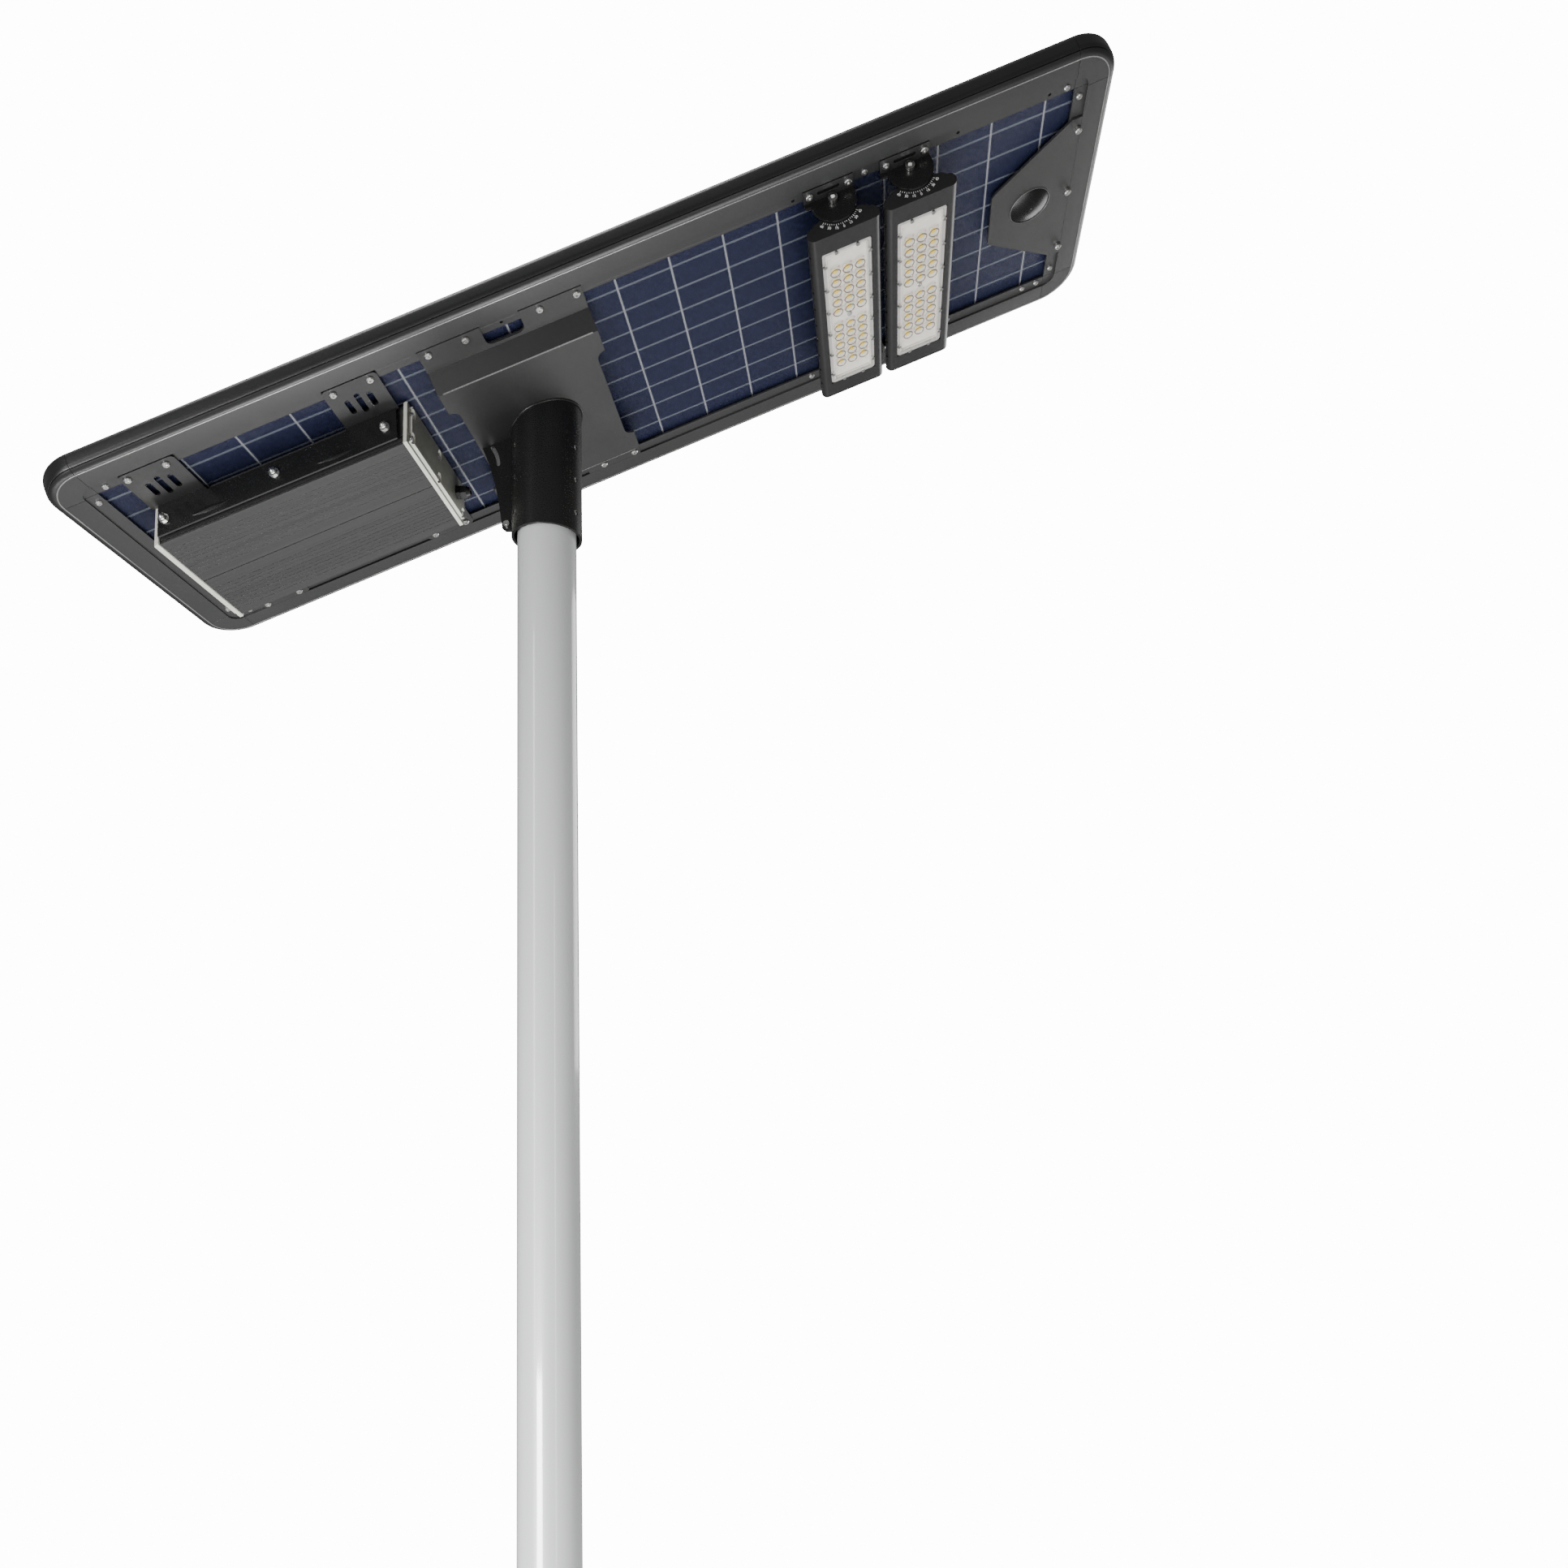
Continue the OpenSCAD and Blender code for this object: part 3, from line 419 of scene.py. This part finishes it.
# nodes that get a second material on the faces whose normal passes a test: painted light and
# shade, a lit copy of the paint on flat tabs and shaded copies on slanting webs and cap faces
PAINTED_LIGHT_AND_SHADE = {
    # the flat tabs of a bracket get the saddle's grey, painted light from below on the black
    # paint; its upright web keeps the black
    "strip_near": ("bracket_paint", is_tab),
    "strip_far": ("bracket_paint", is_tab),
    "lamp_brackets_a": ("bracket_paint", is_tab),
    "lamp_brackets_b": ("bracket_paint", is_tab),
    # the saddle's slanting webs get a darker copy of its paint, painted shade where they turn
    # from the light below
    "saddle": ("web_painted_shade", is_web),
    # the flat outer face of a battery cap gets a dark olive copy of the cap's colour, painted
    # shade on the face that turns from the light; its edges stay bright
    "pack_cap_inner": ("cap_face_painted_shade", lambda normal: normal.dot(EX) > 0.75),
    "pack_cap_outer": ("cap_face_painted_shade", lambda normal: normal.dot(-EX) > 0.75),
}


# gives the faces that pass the test a lit or shaded copy of the paint: painted light and shade
def second_coat(piece, coat, chosen):
    piece.data.materials.append(MATS[coat])
    for face in piece.data.polygons:
        if chosen(face.normal):
            face.material_index = 1


def material_for(node):
    if node in BLACK_PAINTED:
        return MATS["black_paint"]
    return CELLS.get(node) or MATS[slot_of[node]]


# ---------------------------------------------------------------- making pieces

def add(name, mesh, body, material):
    obj = bpy.data.objects.new(name, mesh)
    bpy.context.scene.collection.objects.link(obj)
    mesh.materials.clear()
    mesh.materials.append(material)
    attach(obj, body)
    return obj


def soften(node, width, segments=2, angle=35):
    """Stands in for a CAD node with the same shape and small rounded edges."""
    source = nodes[node]
    mesh = source.data.copy()
    bm = bmesh.new()
    bm.from_mesh(mesh)
    bmesh.ops.remove_doubles(bm, verts=bm.verts, dist=1e-6)
    bmesh.ops.dissolve_limit(bm, angle_limit=math.radians(1.2), verts=bm.verts, edges=bm.edges)
    bm.to_mesh(mesh)
    bm.free()
    for name in ("custom_normal", "sharp_face"):
        if name in mesh.attributes:
            mesh.attributes.remove(mesh.attributes[name])
    piece = add(node + ".soft", mesh, body_of[node], material_for(node))
    bevel = piece.modifiers.new("Edges", "BEVEL")
    bevel.width = width
    bevel.segments = segments
    bevel.limit_method = "ANGLE"
    bevel.angle_limit = math.radians(angle)
    bevel.use_clamp_overlap = True
    bevel.harden_normals = True
    mesh.polygons.foreach_set("use_smooth", [True] * len(mesh.polygons))
    mesh.set_sharp_from_angle(angle=math.radians(30))
    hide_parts(node)
    return piece


for name, obj in nodes.items():
    obj.data.materials.clear()
    obj.data.materials.append(material_for(name))

# nodes that get rounded edges, and how wide
SOFT = {
    "saddle": 0.0010, "sleeve": 0.0006, "gusset_fin": 0.0005,
    "strip_near": 0.0006, "strip_far": 0.0006, "sensor_plate": 0.0006,
    "lamp_brackets_a": 0.0005, "lamp_brackets_b": 0.0005,
    "pack_cap_outer": 0.0012, "pack_cap_inner": 0.0012,
    "pack_case_near": 0.0005, "pack_case_far": 0.0005,
    "lamp_housing_a": 0.0008, "lamp_housing_b": 0.0008,
    "rail_near": 0.0004, "rail_far": 0.0004,
    "rail_battery_end": 0.0004, "rail_sensor_end": 0.0004,
    "corner_battery_near": 0.0004, "corner_battery_far": 0.0004,
    "corner_sensor_near": 0.0004, "corner_sensor_far": 0.0004,
    "base_flange": 0.0015, "flange_gussets": 0.0010,
}
for name, width in SOFT.items():
    piece = soften(name, width)
    if name in PAINTED_LIGHT_AND_SHADE:
        second_coat(piece, *PAINTED_LIGHT_AND_SHADE[name])


# ---------------------------------------------------------------- mesh helpers

def finish_mesh(bm, name, smooth=True):
    mesh = bpy.data.meshes.new(name)
    bmesh.ops.recalc_face_normals(bm, faces=bm.faces)
    bm.to_mesh(mesh)
    bm.free()
    if smooth:
        mesh.polygons.foreach_set("use_smooth", [True] * len(mesh.polygons))
        mesh.set_sharp_from_angle(angle=math.radians(32))
    return mesh


def revolve_into(bm, place, profile, steps=32):
    """Turns a profile of (radius, height) points round local Z; a radius of 0 closes the end."""
    rings = []
    for radius, height in profile:
        if radius == 0:
            rings.append([bm.verts.new(place @ Vector((0, 0, height)))])
            continue
        angles = [2 * math.pi * i / steps for i in range(steps)]
        rings.append([
            bm.verts.new(place @ Vector((radius * math.cos(t), radius * math.sin(t), height)))
            for t in angles])
    for a, b in zip(rings, rings[1:]):
        for i in range(steps):
            j = (i + 1) % steps
            if len(a) == 1:
                bm.faces.new((a[0], b[i], b[j]))
            elif len(b) == 1:
                bm.faces.new((a[i], a[j], b[0]))
            else:
                bm.faces.new((a[i], a[j], b[j], b[i]))


def outline(half_x, half_y, r, steps=6):
    """Points of a rectangle with corners of radius r."""
    points = []
    for sx, sy, start in ((1, 1, 0), (-1, 1, 90), (-1, -1, 180), (1, -1, 270)):
        for i in range(steps + 1):
            t = math.radians(start + 90 * i / steps)
            points.append((sx * (half_x - r) + r * math.cos(t),
                           sy * (half_y - r) + r * math.sin(t)))
    return points


def loft_into(bm, place, loops, closed=True):
    """Skins loops of points; the last joins the first if closed, else both ends are capped."""
    rings = [[bm.verts.new(place @ Vector(p)) for p in loop] for loop in loops]
    following = rings[1:] + rings[:1] if closed else rings[1:]
    n = len(rings[0])
    for a, b in zip(rings, following):
        for i in range(n):
            j = (i + 1) % n
            bm.faces.new((a[i], a[j], b[j], b[i]))
    if not closed:
        bm.faces.new(rings[0][::-1])
        bm.faces.new(rings[-1])


def box_into(bm, matrix, size):
    bmesh.ops.create_cube(bm, size=1.0, matrix=matrix @ Matrix.Diagonal((*size, 1)))


# ---------------------------------------------------------------- dials on the lamp housings

TICK_R = 0.0250         # inner end of the ticks, from the pivot's axis
NUMBER_R = 0.0298
NUMBER_SIZE = 0.0040
LONG_TICK, SHORT_TICK = 0.0026, 0.0016
TICK_WIDTH, TICK_DEPTH = 0.0004, 0.00016
PRINT_LIFT = 0.00005    # how far the middle of a tick stands off the cheek
NUMBER_DEPTH = 0.00008


def text_piece(text, size, matrix, body, name):
    curve = bpy.data.curves.new(name, "FONT")
    curve.body = text
    curve.size = size
    curve.extrude = NUMBER_DEPTH
    curve.align_x = "CENTER"
    curve.align_y = "CENTER"
    obj = bpy.data.objects.new(name, curve)
    bpy.context.scene.collection.objects.link(obj)
    obj.matrix_world = matrix
    bpy.context.view_layer.update()
    shaped = obj.evaluated_get(bpy.context.evaluated_depsgraph_get())
    mesh = bpy.data.meshes.new_from_object(shaped)
    mesh.transform(matrix)
    bpy.data.objects.remove(obj)
    return add(name, mesh, body, DIAL_WHITE)


def dial(lamp, side):
    """Tick marks every 5 degrees and numbers every 15 on one end of a lamp housing."""
    centre = pivot(f"lamp_{lamp}_tilt")
    lo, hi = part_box(f"lamp_housing_{lamp}")
    face_y = (lo[1] if side < 0 else hi[1]) + side * PRINT_LIFT
    # local X runs along the panel as seen from outside, local Y up, local Z out of the cheek
    right = EX * (1 if side < 0 else -1)
    out = Vector((0, side, 0))
    basis = Matrix((right, EZ, out)).transposed().to_4x4()
    place = Matrix.Translation(Vector((centre.x, face_y, centre.z))) @ basis
    tag = "near" if side < 0 else "far"
    bm = bmesh.new()
    for degrees in range(-45, 46, 5):
        length = LONG_TICK if degrees % 15 == 0 else SHORT_TICK
        at = (Matrix.Rotation(math.radians(degrees), 4, "Z")
              @ Matrix.Translation((0, -TICK_R - length / 2, 0)))
        box_into(bm, place @ at, (TICK_WIDTH, length, TICK_DEPTH))
    add(f"dial_ticks_{lamp}_{tag}", finish_mesh(bm, "dial_ticks", False), f"lamp_{lamp}",
        DIAL_WHITE)
    for degrees in range(-45, 46, 15):
        at = (Matrix.Rotation(math.radians(degrees), 4, "Z")
              @ Matrix.Translation((0, -NUMBER_R, 0)))
        text_piece(str(abs(degrees)), NUMBER_SIZE, place @ at, f"lamp_{lamp}",
                   f"dial_{abs(degrees)}_{'m' if degrees < 0 else 'p'}_{lamp}_{tag}")


for lamp in "ab":
    for side in (-1, 1):
        dial(lamp, side)


# ---------------------------------------------------------------- lamp optics

LENS_HALF = (0.0275, 0.1075)
LED_XS = [column * 0.014 for column in (-1, 0, 1)]
LED_YS = [half * (0.013 + row * 0.0155) for row in range(5) for half in (-1, 1)]
BOARD_Z = -0.0034       # the LED board's face, from the lamp's face
BOARD_SCREW_Z = -0.0036

# profiles as (inset from the lens outline, height)
COVER = ((0.0045, -0.0014), (0.0045, -0.0003), (0.0050, 0.0002))
RIM = ((0.0, -0.0018), (0.0, -0.0006), (0.0008, 0.0001), (0.0016, -0.0002), (0.0030, -0.0002),
       (0.0036, 0.0007), (0.0046, 0.0008), (0.0052, 0.0001), (0.0050, -0.0016))
LINING = ((0.0042, -0.0016), (0.0050, -0.0016), (0.0050, -0.0035), (0.0042, -0.0035))
LINING_SHORTER = 0.0010
# profiles as (radius, height)
DOME = ((0.0046, 0.0001), (0.0043, 0.0008), (0.0034, 0.0015), (0.0018, 0.0019), (0, 0.0020))
DOME_RING = ((0.0047, 0.0002), (0.0050, 0.0008), (0.0056, 0.0008), (0.0060, 0.0002))
CHIP = ((0.0033, 0.0006), (0.0032, 0.0012), (0.0020, 0.0016), (0, 0.0017))
SCREW_HEAD = ((0.0030, 0), (0.0030, 0.0012), (0.0024, 0.0018), (0.0014, 0.0019),
              (0.0012, 0.0012), (0, 0.0012))
# an LED package as (half width, height), and the two small parts beside it as (place, size)
PACKAGE = ((0.0037, -0.0001), (0.0037, 0.0005), (0.0034, 0.0007))
SMALL_PARTS = (((0.0052, 0.0040, 0.0002), (0.0016, 0.0009, 0.0006)),
               ((-0.0050, -0.0046, 0.0002), (0.0009, 0.0016, 0.0006)))


def at_leds(place, z):
    """Where each LED of a lamp sits, at height z."""
    return [place @ Matrix.Translation((x, y, z)) for x in LED_XS for y in LED_YS]


def lens_loops(profile, corner, shorter=0.0):
    """Loops inside the lens outline; corner is a function of the inset."""
    hx, hy = LENS_HALF
    return [[(x, y, z) for x, y in outline(hx - inset, hy - inset - shorter, corner(inset))]
            for inset, z in profile]


def lens(lamp, place):
    """Clear cover with a rolled rim, a ring and dome over every LED, and a lining behind it."""
    body = f"lamp_{lamp}"
    bm = bmesh.new()
    loft_into(bm, place, lens_loops(COVER, lambda inset: 0.003 - inset / 2), closed=False)
    cover = add(f"lens_cover_{lamp}", finish_mesh(bm, "cover"), body,
                MATS["lens_plastic"])
    bm = bmesh.new()
    loft_into(bm, place, lens_loops(RIM, lambda inset: 0.004 - inset / 2))
    add(f"lens_rim_{lamp}", finish_mesh(bm, "rim"), body, LENS_EDGE)
    domes, rings = bmesh.new(), bmesh.new()
    for at in at_leds(place, 0):
        revolve_into(domes, at, DOME, 24)
        revolve_into(rings, at, DOME_RING, 24)
    add(f"lens_domes_{lamp}", finish_mesh(domes, "domes"), body,
        MATS["lens_plastic"])
    add(f"lens_rings_{lamp}", finish_mesh(rings, "rings"), body, LENS_RING)
    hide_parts(f"lamp_lens_{lamp}")
    bm = bmesh.new()
    loft_into(bm, place, lens_loops(LINING, lambda inset: 0.001, LINING_SHORTER))
    add(f"lens_lining_{lamp}", finish_mesh(bm, "lining", False), body,
        MATS["led_board"])


def leds(lamp, place):
    """LEDs in their packages, small parts and a screw on the board behind the lens."""
    body = f"lamp_{lamp}"
    packages, chips, parts = bmesh.new(), bmesh.new(), bmesh.new()
    for at in at_leds(place, BOARD_Z):
        loft_into(packages, at, [[(x, y, z) for x, y in outline(half, half, 0.0004, 2)]
                                 for half, z in PACKAGE], closed=False)
        revolve_into(chips, at, CHIP, 20)
        for offset, size in SMALL_PARTS:
            box_into(parts, at @ Matrix.Translation(offset), size)
    add(f"led_packages_{lamp}", finish_mesh(packages, "packages"), body,
        MATS["led_board"])
    chip = add(f"led_chips_{lamp}", finish_mesh(chips, "chips"), body,
               MATS["led_phosphor"])
    add(f"board_parts_{lamp}", finish_mesh(parts, "parts", False), body, RESISTOR)
    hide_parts(f"led_emitters_{lamp}")
    bm = bmesh.new()
    revolve_into(bm, place @ Matrix.Translation((0, 0, BOARD_SCREW_Z)), SCREW_HEAD, 24)
    add(f"board_screw_{lamp}", finish_mesh(bm, "board_screw"), body,
        MATS["stainless"])


for lamp in "ab":
    centre = Matrix.Translation(pivot(f"lamp_{lamp}_tilt"))
    lamp_face = centre @ FACING_DOWN @ Matrix.Translation((0, 0, LAMP_FACE))
    lens(lamp, lamp_face)
    leds(lamp, lamp_face)


# ---------------------------------------------------------------- small details on the head

STRIP_FACE = 90.1           # outer face of a side strip, in mm from the panel's middle line
MARK_Z = -24.5
MARKS = ((-448, 21), (-306, 22))    # middle and half length of each mark, in mm
MARK_HALF_WIDTH, MARK_HEIGHT = 0.0034, 0.0009
SENSOR_RING = ((0.02295, -0.0004), (0.02300, 0.0006), (0.02335, 0.0009), (0.02375, 0.0006),
               (0.02385, -0.0004))
BEAD, BEAD_RIPPLE, BEAD_RIPPLES = 0.0016, 0.10, 90
BEAD_STEPS = 180
# painted highlight lines, bright ridges: (growth of the outline, height) on the frame, (y, z)
# along the saddle's bends
FRAME_EDGE = ((0.0006, 0.0007), (0.00055, 0.00025), (0.0, 0.0001), (-0.00055, 0.00025),
              (-0.0006, 0.0007))
SADDLE_EDGE = ((0.10655, -0.0199), (0.1067, -0.02030), (0.1071, -0.02035), (0.1075, -0.0200),
               (0.1077, -0.0193))
SADDLE_EDGE_INSET = 0.0055


def mark_section(middle, out, fade):
    """Five points across a pressed mark; fade runs from 1 in its middle to 0 at its tips."""
    w, h = MARK_HALF_WIDTH * fade, MARK_HEIGHT * fade
    return (middle + EZ * w - out * 0.0002, middle + EZ * w * 0.45 + out * h * 0.8,
            middle + out * h,
            middle - EZ * w * 0.45 + out * h * 0.8, middle - EZ * w - out * 0.0002)


def join_rows(bm, rows):
    """Skins neighbouring rows of vertices with quads."""
    for a, b in zip(rows, rows[1:]):
        for i in range(len(a) - 1):
            bm.faces.new((a[i], a[i + 1], b[i + 1], b[i]))


def strip_marks():
    """Almond-shaped pressed ribs on the battery's side strips."""
    for side, tag in ((-1, "near"), (1, "far")):
        bm = bmesh.new()
        out = Vector((0, side, 0))
        for x, half in MARKS:
            centre = panel_at(x, side * STRIP_FACE, MARK_Z)
            rows = []
            for k in range(-8, 9):
                t = k / 8
                section = mark_section(centre + EX * (half * MM * t), out, 1 - t * t)
                rows.append([bm.verts.new(point) for point in section])
            join_rows(bm, rows)
        add(f"strip_marks_{tag}", finish_mesh(bm, "marks"), "head",
            MATS["black_paint"])


def sensor_ring():
    bm = bmesh.new()
    place = Matrix.Translation(panel_at(SENSOR_X, 0, 0)) @ FACING_DOWN
    revolve_into(bm, place, SENSOR_RING, 96)
    add("sensor_ring", finish_mesh(bm, "sensor_ring"), "head",
        MATS["ring_grey"])


def sleeve_weld():
    """Weld bead where the sleeve meets the saddle's middle plate."""
    bm = bmesh.new()
    rings = []
    for i in range(BEAD_STEPS):
        t = 2 * math.pi * i / BEAD_STEPS
        outward = Vector((math.cos(t), math.sin(t), 0))
        x, y = SLEEVE_R * math.cos(t), SLEEVE_R * math.sin(t)
        # height of the plate's underside at this point
        z = (PANEL_O.dot(EZ) + SADDLE_FACE_Z - x * EZ.x) / EZ.z
        bead = BEAD * (1 + BEAD_RIPPLE * math.sin(t * BEAD_RIPPLES))
        angles = [math.radians(d) for d in range(-20, 121, 20)]
        rings.append([bm.verts.new(Vector((x, y, z)) + outward * (bead * math.cos(a))
                                   - EZ * (bead * math.sin(a))) for a in angles])
    join_rows(bm, rings + rings[:1])
    add("sleeve_weld", finish_mesh(bm, "weld"), "head", MATS["black_paint"])


def bright_edges():
    """Painted highlight lines as thin bright ridges: round the frame's underside and along the
    saddle's lower bends.
    """
    bm = bmesh.new()
    half_x, half_y = FRAME_HALF[0] - EDGE_BAND, FRAME_HALF[1] - EDGE_BAND
    r = FRAME_CORNER_R - EDGE_BAND
    loops = [[(x, y, z) for x, y in outline(half_x + grow, half_y + grow, r + grow, 12)]
             for grow, z in FRAME_EDGE]
    loft_into(bm, PANEL, loops)
    add("frame_edge", finish_mesh(bm, "frame_edge"), "head", MATS["edge_bright"])
    bm = bmesh.new()
    ends = (SADDLE_X[0] + SADDLE_EDGE_INSET, SADDLE_X[1] - SADDLE_EDGE_INSET)
    for side in (-1, 1):
        join_rows(bm, [[bm.verts.new(PANEL @ Vector((x, side * y, z))) for y, z in SADDLE_EDGE]
                       for x in ends])
    add("saddle_edge", finish_mesh(bm, "saddle_edge"), "head",
        MATS["edge_bright"])


strip_marks()
sensor_ring()
sleeve_weld()
bright_edges()


# ---------------------------------------------------------------- floor, light, camera

FLOOR_RADIUS = 5.4
FLOOR_DROP = 0.0005
AMBIENT = 0.22      # the world's strength as it lights the lamp
BACKDROP = 14.0     # the world's strength as the camera sees it

# name, place, target, size, power in W, spread in degrees
LIGHTS = (
    ("key_below", (0.9, 0.9, 0.3), PANEL_O, (2.6, 1.4), 90, 180),
    ("edge_strip", (-0.2, 0.75, 0.9), panel_at(0, -170, 0), (2.6, 0.10), 22, 180),
    ("front_fill", (-1.1, -3.1, 0.8), (0, 0, 1.3), (1.2, 1.4), 58, 65),
    ("pole_strip", (-0.90, -1.20, 2.35), (0, 0, 2.35), (0.14, 2.1), 8, 180),
    ("pole_strip_right", (0.93, -1.18, 2.1), (0, 0, 2.1), (0.10, 1.5), 3, 180),
    ("key_above", (-1.5, -1.0, 7.0), PANEL_O, (2.5, 2.5), 120, 180),
    ("rim_far", (2.5, 3.0, 3.6), PANEL_O, (2.0, 2.0), 50, 180),
)

CAMERA_PLACE = (0.3534, -1.2836, HEAD_Z - 0.8436)
CAMERA_RIGHT = (0.9981, 0.0512, -0.0339)
CAMERA_AHEAD = (-0.0460, 0.9891, 0.1396)
SENSOR_WIDTH, FOCAL_LENGTH = 36, 28.91
CAMERA_SHIFT = (-0.0292, 0.1271)


def floor():
    bm = bmesh.new()
    bmesh.ops.create_circle(bm, cap_ends=True, segments=128, radius=FLOOR_RADIUS)
    mesh = bpy.data.meshes.new("floor")
    bm.to_mesh(mesh)
    bm.free()
    obj = bpy.data.objects.new("floor", mesh)
    bpy.context.scene.collection.objects.link(obj)
    m = Mat("floor_paint", (0.86, 0.86, 0.86), 0.8)
    m.color(m.mix(m.ramp(m.noise(1.5, 3), 0, 1), (0.84, 0.84, 0.84), (0.88, 0.88, 0.88)))
    mesh.materials.append(m.m)
    obj.location = (0, 0, -FLOOR_DROP)


def world():
    """White for the camera, a soft grey light for the lamp."""
    w = bpy.data.worlds.new("studio")
    bpy.context.scene.world = w
    w.use_nodes = True
    background = w.node_tree.nodes["Background"]
    background.inputs["Color"].default_value = (1, 1, 1, 1)
    path = w.node_tree.nodes.new("ShaderNodeLightPath")
    level = w.node_tree.nodes.new("ShaderNodeMapRange")
    level.inputs["To Min"].default_value = AMBIENT
    level.inputs["To Max"].default_value = BACKDROP
    w.node_tree.links.new(path.outputs["Is Camera Ray"], level.inputs["Value"])
    w.node_tree.links.new(level.outputs[0], background.inputs["Strength"])


def area(name, place, target, size, power, spread):
    """A rectangular light turned towards its target."""
    light = bpy.data.lights.new(name, "AREA")
    light.shape = "RECTANGLE"
    light.size, light.size_y = size
    light.energy = power
    light.spread = math.radians(spread)
    obj = bpy.data.objects.new(name, light)
    obj.location = place
    obj.rotation_euler = (Vector(target) - Vector(place)).to_track_quat("-Z", "Y").to_euler()
    obj.visible_camera = False
    bpy.context.scene.collection.objects.link(obj)


def camera():
    cam = bpy.data.cameras.new("camera")
    obj = bpy.data.objects.new("camera", cam)
    bpy.context.scene.collection.objects.link(obj)
    right = Vector(CAMERA_RIGHT).normalized()
    ahead = Vector(CAMERA_AHEAD).normalized()
    up = right.cross(ahead).normalized()
    right = ahead.cross(up)
    obj.matrix_world = Matrix((right, up, -ahead)).transposed().to_4x4()
    obj.location = CAMERA_PLACE
    cam.sensor_width = SENSOR_WIDTH
    cam.lens = FOCAL_LENGTH
    cam.shift_x, cam.shift_y = CAMERA_SHIFT
    cam.clip_start, cam.clip_end = 0.02, 200
    bpy.context.scene.camera = obj


floor()
world()
for light in LIGHTS:
    area(*light)
camera()

bpy.context.view_layer.update()
